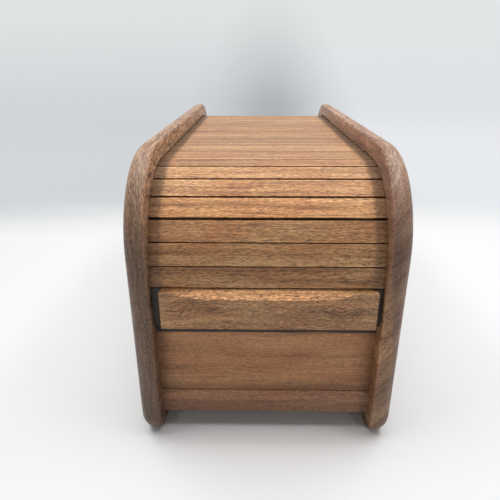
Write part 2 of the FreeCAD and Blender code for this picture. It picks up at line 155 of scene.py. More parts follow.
def oiled_walnut(name, light, middle, dark, pore, where=None, turn=(0, 0, 0), band=7.0, gloss=0.5,
                 pore_length=3.2, pore_share=0.43, blotch=0.4, ray=1.1, lively=0.42,
                 sway=16.0, rings=None, washes=()):
    """Walnut from wood coordinates in mm: the piece's own "plank" attribute, or object coordinates
    moved by where (mm) and turned by turn (degrees) until X runs along the grain.
    The tone is a mix of growth bands (band mm thick), thin streaks and flecks, of which lively is
    the flecks' share; the grain wanders by sway mm. Pores are pore_length mm long and ray mm wide
    along the layers, and there are more of them with a higher pore_share. Blotch is how much of the
    wood's red heart shows, and gloss the middle roughness.
    Rings and washes are laid over it by growth_rings and washed."""
    made, tree, shader = new_material(name)
    place = add(tree, "ShaderNodeTexCoord", out=3)
    object_mm = add(tree, "ShaderNodeMapping", {"Vector": place, "Scale": (1000, 1000, 1000)})
    if where is None:
        wood = add(tree, "ShaderNodeAttribute", out=1, attribute_name="plank")
    else:
        wood = add(tree, "ShaderNodeMapping", {"Vector": object_mm, "Location": where,
                                               "Rotation": [math.radians(angle) for angle in turn]})

    drift = add(tree, "ShaderNodeMapping", {"Vector": wood, "Scale": [1 / mm for mm in WANDER_SIZE]})
    wander = add(tree, "ShaderNodeTexNoise", {"Vector": drift, "Scale": 1.0, "Detail": 1.0}, out=1)
    bend = add(tree, "ShaderNodeVectorMath", {0: wander, 1: (0.5, 0.5, 0.5)}, operation="SUBTRACT")
    shift = add(tree, "ShaderNodeVectorMath", {0: bend, 1: (0, sway, sway / 2)}, operation="MULTIPLY")
    grain = add(tree, "ShaderNodeVectorMath", {0: wood, 1: shift}, operation="ADD")

    # Each figure of the wood: its coordinates, its size in mm on the wood's three axes, its detail
    # and its roughness.
    figures = {"growth": (grain, (GROWTH_LENGTH[0], band, GROWTH_LENGTH[1]), 3.0, 0.6),
               "streak": (grain, STREAK_SIZE, 2.0, 0.5),
               "speck": (grain, (pore_length / 1.3, PORE_WIDTH, ray), 1.5, 0.55),
               "fleck": (grain, (pore_length, FLECK_WIDTH, ray), 2.0, 0.6),
               "patch": (wood, PATCH_SIZE, 2.0, 0.5)}
    noise = {}
    for figure, (axes, size, detail, roughness) in figures.items():
        stretched = add(tree, "ShaderNodeMapping", {"Vector": axes, "Scale": [1 / mm for mm in size]})
        noise[figure] = add(tree, "ShaderNodeTexNoise", {"Vector": stretched, "Scale": 1.0,
                                                         "Detail": detail, "Roughness": roughness})

    layers = add(tree, "ShaderNodeMix", {"Factor": 0.40, 2: noise["growth"], 3: noise["streak"]},
                 data_type="FLOAT")
    body = add(tree, "ShaderNodeMix", {"Factor": lively, 2: layers, 3: noise["fleck"]}, data_type="FLOAT")
    tone = add(tree, "ShaderNodeValToRGB", {"Fac": body},
               stops=[(0.41, dark), (0.50, middle), (0.60, light)])
    warm = add(tree, "ShaderNodeMapRange", {0: noise["patch"], 1: 0.35, 2: 0.68, 3: 0.0, 4: blotch})
    red = add(tree, "ShaderNodeMix", {"Factor": warm, 6: tone, 7: colour(RED_HEART)},
              out=2, data_type="RGBA", blend_type="MULTIPLY")
    open_pore = add(tree, "ShaderNodeMapRange",
                    {0: noise["speck"], 1: pore_share - 0.10, 2: pore_share, 3: 0.85, 4: 0.0})
    surface = add(tree, "ShaderNodeMix", {"Factor": open_pore, 6: red, 7: colour(pore)},
                  out=2, data_type="RGBA")
    if rings:
        surface = growth_rings(tree, surface, object_mm, bend, *rings)
    if where is None:
        shade = add(tree, "ShaderNodeAttribute", out=2, attribute_name="tone")
        surface = add(tree, "ShaderNodeHueSaturation", {"Color": surface, "Value": shade})
    for wash in washes:
        surface = washed(tree, surface, object_mm, body, *wash)
    tree.links.new(surface, shader.inputs["Base Color"])

    satin = add(tree, "ShaderNodeMapRange", {0: body, 1: 0.3, 2: 0.7, 3: gloss + 0.09, 4: gloss - 0.05})
    tree.links.new(satin, shader.inputs["Roughness"])
    depth = add(tree, "ShaderNodeMath", {0: body, 1: 0.35}, operation="MULTIPLY")
    relief = add(tree, "ShaderNodeMath", {0: depth, 1: open_pore}, operation="SUBTRACT")
    fibre = add(tree, "ShaderNodeBump", {"Height": relief, "Distance": PORE_RELIEF * MM, "Strength": 0.6})
    tree.links.new(fibre, shader.inputs["Normal"])
    shader.inputs["IOR"].default_value = OIL_IOR
    return made


# %% [markdown]
# Two things lie over the figure of the sides. Rings are what end grain shows: a thin pale line where a
# year's growth ends and a darker zone after it, so one ramp repeats across the layers. A wash is a slow
# change of tone over a whole board: a ramp from one place on the board to another, which multiplies the
# wood. The washes here carry the wood's own olive wedge, and also painted light and shade on the sides.

# %% Rings and washes
RING_WANDER = 16


def growth_rings(tree, surface, object_mm, bend, direction, spacing, amount):
    """Overlays a year's ramp every spacing mm along direction: the fraction of place · direction /
    spacing, where place is moved by the smooth noise bend. Amount is the overlay's share."""
    moved = add(tree, "ShaderNodeVectorMath", {0: bend, 1: (RING_WANDER,) * 3, 2: object_mm},
                operation="MULTIPLY_ADD")
    across = add(tree, "ShaderNodeVectorMath", {0: moved, 1: direction}, out=1, operation="DOT_PRODUCT")
    years = add(tree, "ShaderNodeMath", {0: across, 1: 1 / spacing}, operation="MULTIPLY")
    year = add(tree, "ShaderNodeMath", {0: years}, operation="FRACT")
    ring = add(tree, "ShaderNodeValToRGB", {"Fac": year}, stops=[
        (0.0, "#E4DCD4"), (0.06, "#C2C0BE"), (0.13, "#A4A09E"), (0.6, "#B8B6B4"),
        (0.95, "#C0C0C0"), (1.0, "#E4DCD4")])
    return add(tree, "ShaderNodeMix", {"Factor": amount, 6: surface, 7: ring}, out=2,
               data_type="RGBA", blend_type="OVERLAY")


def washed(tree, surface, object_mm, body, direction, start, end, ragged, stops):
    """Multiplies the wood by a ramp that runs from start to end mm along direction. The place on
    the ramp is moved by ragged mm times the figure of the wood, body, which lies about 0.5."""
    along = add(tree, "ShaderNodeVectorMath", {0: object_mm, 1: direction}, out=1, operation="DOT_PRODUCT")
    uneven = add(tree, "ShaderNodeMath", {0: body, 1: 0.5}, operation="SUBTRACT")
    along = add(tree, "ShaderNodeMath", {0: uneven, 1: ragged, 2: along}, operation="MULTIPLY_ADD")
    level = add(tree, "ShaderNodeMapRange", {0: along, 1: start, 2: end})
    wash = add(tree, "ShaderNodeValToRGB", {"Fac": level}, stops=stops)
    return add(tree, "ShaderNodeMix", {"Factor": 1.0, 6: surface, 7: wash}, out=2,
               data_type="RGBA", blend_type="MULTIPLY")


# %% [markdown]
# The boards come from different planks, so each has its own four colours, from light growth to open pore.
# The sides have the longest pores, which show as streaks on their long faces and as specks on the rounded
# fronts. A side is painted darker below the bend and lighter at its top, painted shade below and a painted
# sheen above, and its inner face is painted lighter than the rest of it, painted light. The right one also
# has an olive wedge, wide at the foot and running out at the top.

# %% Planks
slat_walnut = oiled_walnut("oiled walnut slats", "#E6B682", "#B88857", "#7F5735", "#42271A",
                           band=5.5, gloss=0.41, pore_length=3.8, sway=6.0)
UP, TO_THE_LEFT, TO_THE_RIGHT = (0, 0, 1), (-1, 0, 0), (1, 0, 0)
# Painted shade low on the sides and a painted sheen at their tops, by height.
LEFT_SHADE_AND_SHEEN = (UP, 10, 190, 8, [
    (0.0, "#929296"), (0.2, "#969698"), (0.35, "#A0A09F"), (0.5, "#A8A8A6"), (0.65, "#989898"),
    (0.74, "#A0A0A0"), (0.85, "#CACAC9"), (1.0, "#FAFFFF")])
RIGHT_SHADE_AND_SHEEN = (UP, 10, 190, 8, [
    (0.0, "#B4B4B0"), (0.17, "#B4B4B1"), (0.37, "#DAD9D4"), (0.54, "#C8CCCA"), (0.68, "#A8A6A6"),
    (0.75, "#A8A8A8"), (0.81, "#BFC5C7"), (0.91, "#C8CED6"), (1.0, "#F2FCFF")])
OLIVE_WEDGE = ((1, 0, 0.11), 84, 97, 6, [
    (0.0, "#F8F2E0"), (0.30, "#F8F2E0"), (0.42, "#D6CACA"), (0.7, "#E4DAD8"), (1.0, "#FAF2F0")])
# Painted light: each side's inner face stays lighter and the rest of the side is painted darker.
INNER_FACE_LIGHT = (72, 77, 1.5, [
    (0.0, "#FFFFFF"), (0.15, "#FFF8F4"), (0.5, "#E5E6E7"), (1.0, "#E5E6E7")])
side_walnut_left = oiled_walnut(
    "oiled walnut left side", "#EDBF99", "#C59976", "#88624A", "#402E24",
    where=(0, 0, 0), turn=(0, 0, 90), band=5.0, blotch=0.2, gloss=0.40, pore_length=14.0, ray=2.2,
    lively=0.55, rings=((1, 0, 0.04), 4.1, 0.7), washes=(LEFT_SHADE_AND_SHEEN, (TO_THE_LEFT, *INNER_FACE_LIGHT)))
side_walnut_right = oiled_walnut(
    "oiled walnut right side", "#F8CCA8", "#D2A685", "#9E735A", "#4C3528",
    where=(300, 40, 90), turn=(0, -42, 90), band=8.0, pore_share=0.42, blotch=0.2, gloss=0.40,
    pore_length=14.0, ray=1.6, lively=0.5, rings=((0.76, 0, -0.65), 12.0, 0.62),
    washes=(RIGHT_SHADE_AND_SHEEN, OLIVE_WEDGE, (TO_THE_RIGHT, *INNER_FACE_LIGHT)))
panel_walnut = oiled_walnut("oiled walnut panel", "#CC9666", "#AE7C52", "#8E6040", "#66422C",
                            band=11.0, pore_share=0.39, sway=9.0)
rail_walnut = oiled_walnut("oiled walnut rails", "#AB7F5D", "#8E674D", "#70503D", "#4A3326")
bar_walnut = oiled_walnut("oiled walnut lead bar", "#DEAE7C", "#B0865C", "#76553C", "#40291C",
                          lively=0.46, sway=10.0)
inside_walnut = oiled_walnut("bare walnut inside", "#B68A68", "#986F54", "#785643", "#4E382B",
                             where=(500, 0, 0), gloss=0.68, pore_length=6.0)
back_walnut = oiled_walnut("oiled walnut back", "#BC9068", "#9C7252", "#7A583F", "#503828",
                           where=(0, 60, 20), turn=(90, 0, 0), band=11.0, pore_share=0.39, pore_length=6.0)
print("materials:", len(bpy.data.materials))

# %% [markdown]
# ## Surfaces from arrays
# Each new piece is a grid of points that numpy works out in one go: rows follow the piece, columns
# follow its outline. Long pieces are closed round the outline and capped at both ends. The same
# call stores two things that the walnut reads: where each point lies in its plank, and how light
# the plank is. The three numbers that a piece adds to its plank places choose another part of the
# tree, so that no two pieces have the same figure.

# %% Grid to mesh


def grid_faces(rows, columns, offset=0):
    """Quads between neighbouring rows of a grid that is closed round its columns, and two end caps."""
    row, place = np.meshgrid(np.arange(rows - 1), np.arange(columns), indexing="ij")
    here, above = row * columns, (row + 1) * columns
    beside = (place + 1) % columns
    quads = np.stack([here + place, here + beside, above + beside, above + place], -1)
    first = list(range(offset + columns - 1, offset - 1, -1))
    last = list(range(offset + (rows - 1) * columns, offset + rows * columns))
    return (quads.reshape(-1, 4) + offset).tolist() + [first, last]


def make_piece(name, parts, material, body, replaced, plank, tone, crease=40):
    """One mesh from several capped grids (rows, columns, 3) in metres, riding on a body and standing
    for the replaced nodes. Plank holds a grid of wood places in mm for each part, and tone is how
    light the wood is, one number or one for each point. Edges sharper than crease degrees stay."""
    points, faces = [], []
    for part in parts:
        faces += grid_faces(*part.shape[:2], offset=sum(len(done) for done in points))
        points.append(part.reshape(-1, 3))
    mesh = bpy.data.meshes.new(name)
    mesh.from_pydata(np.concatenate(points), [], faces)
    shell = bmesh.new()
    shell.from_mesh(mesh)
    bmesh.ops.recalc_face_normals(shell, faces=shell.faces)
    shell.to_mesh(mesh)
    shell.free()
    mesh.polygons.foreach_set("use_smooth", np.ones(len(mesh.polygons), bool))
    mesh.set_sharp_from_angle(angle=math.radians(crease))
    wood = np.concatenate([part.reshape(-1, 3) for part in plank])
    level = np.broadcast_to(np.asarray(tone, float), len(mesh.vertices))
    places = mesh.attributes.new("plank", "FLOAT_VECTOR", "POINT")
    places.data.foreach_set("vector", wood.astype(np.float32).ravel())
    shades = mesh.attributes.new("tone", "FLOAT", "POINT")
    shades.data.foreach_set("value", level.astype(np.float32))
    mesh.materials.append(material)
    made = bpy.data.objects.new(name, mesh)
    bpy.context.scene.collection.objects.link(made)
    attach(made, body)
    if replaced:
        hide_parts(*replaced)
    return made


# %% [markdown]
# ## The lid's path
# Seen from the side the lid is a line: up the front, round a quarter circle, along the top, round
# the back corner and down. A place on it is one number, its distance along the canvas from the
# joint above the lead slat. A slat is stiff, so it lies on the chord between two such places.
# All sizes are in mm: the pitch of the slats, the gap between them, the thickness of wood and of
# cloth, the inside width and the lead slat's length with its gap; then the straight rise before the
# bend, the radius of the bend, the flat top and the centre of the front bend.

# %% Path of the lid
PITCH, GAP, WOOD, CLOTH, INSIDE, LEAD = 13.6, 0.7, 4.5, 0.5, 144.0, 27.3
RISE, BEND, TOP_RUN = 6.3, 56.25, 258.0
CORNER_Y, CORNER_Z = -129.0, 121.0
ARC = BEND * math.pi / 2
SLATS, FIRST_ON_TOP, LAST_ON_TOP = 33, 8, 22


def on_path(place):
    """Point and heading on the lid's path: straight pieces and quarter circles chosen by distance."""
    past_rise = np.asarray(place, float) - RISE
    front = np.clip(past_rise, 0, ARC) / BEND
    back = np.clip(past_rise - ARC - TOP_RUN, 0, ARC) / BEND
    run = np.clip(past_rise - ARC, 0, TOP_RUN)
    down = np.clip(past_rise - 2 * ARC - TOP_RUN, 0, None)
    y = CORNER_Y - BEND * np.cos(front) + run + BEND * np.sin(back)
    z = CORNER_Z + np.minimum(past_rise, 0) + BEND * np.sin(front) - BEND * (1 - np.cos(back)) - down
    return np.stack([y, z], -1), front + back


def seated(points, start, end):
    """Puts a piece drawn at (x, out of the lid, along the lid), in mm, on the chord of the path."""
    ends, _ = on_path([start, end])
    middle, way = ends.mean(0), (ends[1] - ends[0]) / np.linalg.norm(ends[1] - ends[0])
    out = np.array([-way[1], way[0]])
    place = middle + points[..., 1:2] * out + points[..., 2:3] * way
    return np.concatenate([points[..., :1], place], -1) * MM


# Three slats, to compare the path with the machined model.
for number in (1, 12, 30):
    corners = np.array(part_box("slat_%02d" % number))[:, 1:] / MM
    chord, _ = on_path([(number - 1) * PITCH, number * PITCH])
    print("slat", number, "middle", chord.mean(0).round(2), "node", corners.mean(0).round(2))

# %% [markdown]
# ## Outlines
# A cross-section is a few corners. Sanding takes each corner off, so every corner becomes a small
# curve. Hand work is never quite straight either: a few slow sine waves of different length, added
# together, wander the way a sanded edge does and give the same result on every run.

# %% Outlines and sweeps


def eased(corners, radius, steps=4):
    """Rounds corners: a quadratic curve from radius before each corner to radius after it."""
    corners = np.asarray(corners, float)
    radius = np.broadcast_to(np.asarray(radius, float), corners.shape[:-1])[..., None]
    before, after = np.roll(corners, 1, -2) - corners, np.roll(corners, -1, -2) - corners
    before /= np.linalg.norm(before, axis=-1, keepdims=True)
    after /= np.linalg.norm(after, axis=-1, keepdims=True)
    t = np.linspace(0, 1, steps)[:, None]
    first, corner, last = [p[..., None, :] for p in (corners + before * radius, corners,
                                                     corners + after * radius)]
    curve = (1 - t) ** 2 * first + 2 * t * (1 - t) * corner + t ** 2 * last
    return curve.reshape(*corners.shape[:-2], -1, 2)


def along_x(xs, outline):
    """Carries an outline along X: point (x, a, b) for each station x and each outline point (a, b)."""
    xs = np.asarray(xs, float)
    rows = np.broadcast_to(outline, (len(xs), *np.shape(outline)[-2:]))
    return np.concatenate([np.broadcast_to(xs[:, None, None], (*rows.shape[:2], 1)), rows], -1)


def waver(x, seed, size, length=30.0):
    """A slow wander: size times the weighted mean of five sine waves, whose lengths lie between 0.25
    and 1.6 of length, and whose phases and weights are drawn too."""
    draw = np.random.default_rng(seed)
    waves = length * draw.uniform(0.25, 1.6, 5)
    phases, heights = draw.uniform(0, 2 * math.pi, 5), draw.uniform(0.4, 1.0, 5)
    x = np.asarray(x, float)[..., None]
    return size * (heights * np.sin(2 * math.pi * x / waves + phases)).sum(-1) / heights.sum()


def stations(half, spacing, ease):
    """Places along a piece: close together at both ends, where it is eased, and evenly between."""
    inner = np.linspace(-half + ease, half - ease, max(2, round(2 * half / spacing)))
    tip = np.array([0.0, 0.35 * ease])
    return np.concatenate([-half + tip, inner, half - tip[::-1]])


def column(xs, a, b):
    """One outline point (a, b) for every station x along a piece, where a and b may follow x."""
    same = np.ones_like(xs)
    return np.stack([a * same, b * same], -1)[:, None]


def step(value, start, end):
    """A soft step from 0 at start to 1 at end: t * t * (3 - 2 * t), with t the share of the way."""
    t = np.clip((value - start) / (end - start), 0, 1)
    return t * t * (3 - 2 * t)


# %% [markdown]
# ## Slats
# Thirty-three slats are sawn 4.5 mm thick, sanded on the face and glued to the canvas with a saw
# gap between them. A tongue at each end rides in the groove of the side. Over the corners the gaps
# open like a fan, because the slats are joined only at the back. Each slat is a rounded
# rectangle carried from side to side. Its long edges wander by a tenth of a millimetre, and each
# comes from another place in the plank, a little lighter or darker. The photographed gaps aren't
# equal: the first two are tight and the third is wide, which TRIM gives by gap, in millimetres cut
# off the edge above it and the edge below it. Below zero, wood is left on.

# %% One slat
SLAT_HALF, TONGUE_HALF = INSIDE / 2 - 0.06, INSIDE / 2 + 5.0
MIDDLE = CLOTH / 2 + WOOD / 2
FACE = CLOTH / 2 + WOOD
EDGE_WANDER, BACK_EASE, FACE_EASE, TONGUE_EASE = 0.10, 0.15, 0.22, 0.8
FULL_TONGUE, THIN_TONGUE = (2.7, 5.9), (1.6, 3.5)


def slat_parts(width, seed, trims, rise, reach):
    """A board with wandering long edges, and a tongue at each end, as (x, out, along) grids in mm.
    Trims are cut off the lower and the upper long edge of its face. The tongue stands rise mm above
    the middle of the wood and goes reach mm to both sides of it along the lid."""
    xs = stations(SLAT_HALF, 2.5, 0.5)
    half, back = width / 2, CLOTH / 2
    low, high = (trims[n] + np.abs(waver(xs, seed + n, EDGE_WANDER)) for n in (0, 1))
    corners = np.concatenate([column(xs, back, -half), column(xs, FACE, -half + low),
                              column(xs, FACE, half - high), column(xs, back, half)], 1)
    board = along_x(xs, eased(corners, (BACK_EASE, FACE_EASE, FACE_EASE, BACK_EASE)))
    under, over = MIDDLE - THIN_TONGUE[0], MIDDLE + rise
    tongue = eased([(under, -reach), (over, -reach), (over, reach), (under, reach)], TONGUE_EASE)
    stub = along_x([SLAT_HALF - 0.2, TONGUE_HALF - 0.4, TONGUE_HALF], tongue)
    stub[-1, :, 1:] = (MIDDLE, 0) + (stub[-1, :, 1:] - (MIDDLE, 0)) * 0.8
    other = stub[:, ::-1] * (-1, 1, 1)
    return [board, stub, other]


def painted_slat_shade(parts, ends):
    """Lightness of each point of a slat, with painted shade in it. The face is 1 in the middle and falls to
    a share, ends, in a soft step between two places near the sides: a painted shadow of the sides. The
    walls of the gaps are painted dark, as painted shade in the narrow gaps: gap_wall below the face, rising
    to 1 over the last rim mm. On the tongues, in the grooves, that number is at least tongue."""
    # Painted shade: the shadow of the sides across the slat ends, and shade in the gaps and grooves.
    shade_from, shade_to, gap_wall, rim, tongue = 65.0, 66.8, 0.42, 0.2, 0.5
    x, out = np.concatenate([part.reshape(-1, 3) for part in parts])[:, :2].T
    wall = gap_wall + (1 - gap_wall) * np.clip((out - (FACE - rim)) / rim, 0, 1)
    wall = np.maximum(wall, tongue * (np.abs(x) > SLAT_HALF - 0.25))
    return (1 - (1 - ends) * step(np.abs(x), shade_from, shade_to)) * wall


def lid_body(number):
    """The slats in the middle of the top slide as one body; the others turn one by one."""
    return "lid_run" if FIRST_ON_TOP <= number <= LAST_ON_TOP else "slat_%02d" % number


# %% [markdown]
# Each slat gets its own tone. The eight lowest were matched to the photograph, so besides the wood's tone
# they hold painted light: the slats that face up over the bend are painted much lighter than the three
# upright ones below. The rest are drawn at random, a little darker far back on the top. The painted shadow
# of the sides at the ends is weaker on the three lowest than on the others. The slats in sight have tongues
# as high as the groove, so that no dark line shows beside them. The ones at the back have thinner tongues,
# which clear the groove as they go round the corner.

# %% Slats
EVEN_TRIM = (-0.2, -0.2)
TRIM = {0: (-0.3, 0.1), 1: (-0.60, -0.60), 2: (-0.62, -0.60), 3: (-0.05, -0.05),
        4: (-0.3, -0.2), 5: (-0.3, -0.25)}
# How much light the painted shadow of the sides leaves at the slat ends: the three lowest, then the others.
LOW_SLAT_END_SHADOW, OTHER_SLAT_END_SHADOW = 0.55, 0.40
draw = np.random.default_rng(11)
TONES_AND_LIGHT = draw.uniform(0.80, 1.12, SLATS + 1)
# These eight tones also hold painted light: the slats facing up over the bend are painted lighter.
TONES_AND_LIGHT[1:9] = (0.80, 0.85, 0.97, 1.42, 1.30, 1.12, 1.00, 1.06)
TONES_AND_LIGHT[13:23] *= 0.90
for number in range(1, SLATS + 1):
    name = "slat_%02d" % number
    trims = TRIM.get(number - 1, EVEN_TRIM)[0], TRIM.get(number, EVEN_TRIM)[1]
    tongue = FULL_TONGUE if number <= LAST_ON_TOP else THIN_TONGUE
    ends = LOW_SLAT_END_SHADOW if number < 4 else OTHER_SLAT_END_SHADOW
    parts = slat_parts(PITCH - GAP, 10 * number, trims, *tongue)
    cut_from = draw.uniform(-400, 400), 40.0 * number, draw.uniform(0, 60)
    make_piece("walnut_" + name, [seated(part, (number - 1) * PITCH, number * PITCH) for part in parts],
               slat_walnut, lid_body(number), [name],
               [part[..., [0, 2, 1]] + cut_from for part in parts],
               TONES_AND_LIGHT[number] * painted_slat_shade(parts, ends))
print("slats made:", SLATS)

# %% [markdown]
# ## Lead slat and its bar
# The lid ends in one tall slat, and a bar is glued to its face as the pull. Both ends of the slat
# lie in deep shade beside the bar, and the photograph shows them almost black. That shade starts
# 64 mm from the middle, just inside the ends of the bar.

# %% Lead slat
DARK_FROM, BESIDE_BAR, BEHIND_BAR = 64, 0.05, 0.8
lead = slat_parts(LEAD - GAP, 7, (0.0, TRIM[0][1]), *FULL_TONGUE)
beside = np.abs(np.concatenate([part.reshape(-1, 3) for part in lead])[:, 0]) > DARK_FROM
make_piece("walnut_lead_slat", [seated(part, -LEAD, 0.0) for part in lead], slat_walnut, "lead",
           ["lead_slat"], [part[..., [0, 2, 1]] + (90, -30, 12) for part in lead],
           np.where(beside, BESIDE_BAR, BEHIND_BAR) * painted_slat_shade(lead, 1.0))
print("lead slat points:", len(beside))

# %% [markdown]
# A scoop is cut along the top front edge of the bar for the fingers: full depth over the middle,
# running out to nothing near both ends, where the cutter was lifted away. So the bar is an outline
# whose scoop corners move with a share that is 1 in the middle and falls to almost 0 along each
# run-out. The left run-out is long and the right one short, as in the photograph: each is given by
# its outer end, in mm from the middle, and its length. The top is sanded 0.9 mm below the machined
# model's.

# %% Lead bar
LEFT_RUN_OUT, RIGHT_RUN_OUT = (66, 27), (53, 12)
SCOOP_DROP, SCOOP_DEPTH, LEAST_SHARE = 4.5, 3.9, 0.04
FACE_HOLLOW, FOOT_EASE, TOP_LOWER = 0.12, 0.7, 0.9
bar_low, bar_high = [np.array(corner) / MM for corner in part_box("lead_bar")]
xs = np.concatenate([[bar_low[0], bar_low[0] + 0.25],
                     np.linspace(bar_low[0] + 0.8, bar_high[0] - 0.8, 132),
                     [bar_high[0] - 0.25, bar_high[0]]])
from_middle = xs - (bar_low[0] + bar_high[0]) / 2
share = np.clip(np.minimum((from_middle + LEFT_RUN_OUT[0]) / LEFT_RUN_OUT[1],
                           (RIGHT_RUN_OUT[0] - from_middle) / RIGHT_RUN_OUT[1]), 0, 1)
share = LEAST_SHARE + (1 - LEAST_SHARE) * share * (1 - 0.12 * waver(xs, 3, 1.0, 22))
drop, depth = SCOOP_DROP * share, SCOOP_DEPTH * share
front, back, foot, top = bar_low[1], bar_high[1], bar_low[2], bar_high[2] - TOP_LOWER
wobble = waver(xs, 5, 0.25, 26) * (share > 0.3)

# The face goes from above the foot, t = 0, up to the scoop's lower edge, t = 1, slightly hollow.
# The scoop goes from that edge to its full depth at the top, bowed by a half sine wave.
face_foot = foot + FOOT_EASE
face = [column(xs, front + FACE_HOLLOW * np.abs(waver(xs + 9 * t, 8, 1.0, 40)) * math.sin(math.pi * t),
               face_foot + (top - drop + wobble - face_foot) * t)
        for t in np.append(np.linspace(0, 1, 22)[1:-1], 0.992)]
scoop = [column(xs, front + depth * t + 0.10 * depth * math.sin(math.pi * t),
                top - drop * (1 - t) - 0.16 * drop * math.sin(math.pi * t) + wobble * (1 - t))
         for t in np.linspace(0, 1, 8)]
outline = np.concatenate([column(xs, back, foot), column(xs, front + 0.5, foot),
                          column(xs, front + 0.1, foot + 0.35), *face, *scoop,
                          column(xs, back - 0.25, top), column(xs, back, top - 0.2)], 1)
bar = along_x(xs, outline)
for end in (0, -1):
    inward = outline[end] - outline[end].mean(0)
    bar[end, :, 1:] -= 0.2 * inward / np.linalg.norm(inward, axis=-1, keepdims=True)
print("bar in mm:", (bar_high - bar_low).round(1), "scoop", drop.max().round(1), "by", depth.max().round(1))

# %% [markdown]
# The bar comes from a livelier plank, with small knots. A knot pushes the growth layers aside, so near it
# the plank place is shifted by a bell curve, and the wood is darker. The scoop is painted lighter, a
# painted highlight where it faces up into the light. Each knot is its middle in X and Z, its half width and
# half height, how far it pushes the layers, all in mm, and how much darker it is.

# %% Knots and finish of the bar
KNOTS = ((-24, 93.5, 3.6, 1.4, 1.2, 0.40), (-55, 97, 7.0, 3.5, 2.6, 0.08), (45, 99, 6.0, 3.4, 3.4, 0.20),
         (56, 97, 6.0, 3.5, 2.4, 0.0), (8, 99, 14.0, 3.0, 1.6, 0.0), (-36, 102.5, 4.5, 3.0, 1.0, 0.24))
BAR_TONE, SCOOP_HIGHLIGHT = 0.98, 0.86
x, y, z = np.moveaxis(bar, -1, 0)
plank = np.stack([x, z - 87, y + 190], -1)
shade = np.full_like(x, BAR_TONE)
first_scoop = 3 + len(face)
# Painted highlight on the scoop.
shade[:, first_scoop:first_scoop + len(scoop)] += SCOOP_HIGHLIGHT * np.clip(2 * share, 0, 1)[:, None]
for at_x, at_z, wide, high, push, dark in KNOTS:
    bell = np.exp(-((x - at_x) / wide) ** 2 - ((z - at_z) / high) ** 2)
    plank[..., 1] += push * bell
    shade -= dark * bell
make_piece("walnut_lead_bar", [bar * MM], bar_walnut, "lead", ["lead_bar"],
           [plank + (130, 12, 3)], shade.ravel(), crease=28)
print("knots:", len(KNOTS))

# %% [markdown]
# ## Front rail
# Under the panel a stout rail joins the two sides. Its front top edge was planed to a slope by hand, so the
# ledge catches the light in a slightly wavy line, and the ledge is also painted lighter, a painted
# highlight. The outline has that slope and the groove for the bottom board, and its front corners wander
# along the rail. Both ends of the rail are painted darker, a painted shade beside the sides.

# %% Front rail
SLOPE_BACK, SLOPE_DROP, LIP_DROP, PLAY = 2.6, 5.8, 7.6, 0.1
RAIL_TONE, LEDGE_HIGHLIGHT, END_SHADE = 0.91, 0.42, 0.30
rail_low, rail_high = [np.array(corner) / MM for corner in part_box("front_rail")]
board_low, board_high = [np.array(corner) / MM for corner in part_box("bottom_board")]
front, foot = rail_low[1:]
back, top = rail_high[1:]
groove, groove_foot, groove_top = board_low[1] - PLAY, board_low[2] - PLAY, board_high[2] + PLAY
xs = stations(rail_high[0], 2.5, 0.4)
lip = waver(xs, 21, 0.45, 36)
crest = np.minimum(waver(xs, 22, 0.35, 24) - 0.35, 0.0)
corners = np.concatenate([
    column(xs, front, foot), column(xs, back, foot), column(xs, back, groove_foot),
    column(xs, groove, groove_foot), column(xs, groove, groove_top), column(xs, back, groove_top),
    column(xs, back, top), column(xs, front + SLOPE_BACK + 0.3 * lip, top),
    column(xs, front - crest * 0.4, top - SLOPE_DROP + lip),
    column(xs, front - crest * 0.2, top - LIP_DROP + lip)], 1)
rail = along_x(xs, eased(corners, (0.9, 0.4, 0.2, 0.2, 0.2, 0.2, 0.4, 0.5, 0.6, 0.4)))
# Painted highlight on the ledge, and painted shade towards both ends beside the sides.
ledge = np.clip(rail[..., 2] - (top - SLOPE_DROP - 1) - lip[:, None], 0, 1)
ends = np.clip((np.abs(rail[..., 0]) - 62) / 8, 0, 1)
make_piece("walnut_front_rail", [rail * MM], rail_walnut, "case", ["front_rail"],
           [rail[..., [0, 2, 1]] + (40, 500, 30)],
           ((RAIL_TONE + LEDGE_HIGHLIGHT * ledge) * (1 - END_SHADE * ends)).ravel(), crease=30)
print("rail points:", rail.shape[0] * rail.shape[1])

# %% [markdown]
# ## Front panel
# The fixed board between the sides closes the front below the lid. It is planed flat, with its ends in the
# grooves of the sides. Just under the bar a painted shadow of the bar runs as a dark line, which widens up
# to the lid past the ends of the bar. The corners beside the sides have painted shade, and so does a band
# above the rail. These follow both directions of the face, so the face is a fine grid and the tone is a
# product of soft steps.

# %% Front panel
LEVELS = 96
PANEL_TONE, CORNER_SHADE_DARKER, LOW_SHADE_DARKER, BAR_SHADOW_DARKER = 0.97, 0.42, 0.38, 0.94
BAR_SHADOW_FOOT, BAR_SHADOW_TOP, LOW_SHADE_HEIGHT, LOW_SHADE_FADE, CORNER_REACH = 78.9, 81.0, 35.5, 5.0, 7.5
panel_low, panel_high = [np.array(corner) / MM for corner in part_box("front_panel")]
front, foot = panel_low[1:]
back, top = panel_high[1:]
xs = stations(panel_high[0], 1.6, 0.4)
hollow = 0.12 * np.abs(waver(xs, 31, 1.0, 60))
panel = along_x(xs, np.concatenate([
    column(xs, back, foot), column(xs, front + 0.4, foot),
    *[column(xs, front + hollow, level) for level in np.linspace(foot + 0.4, top - 0.8, LEVELS)],
    column(xs, front + 0.3, top - 0.25), column(xs, front + 0.9, top),
    column(xs, back - 0.5, top), column(xs, back, top - 0.5)], 1))

x, z = panel[..., 0], panel[..., 2]
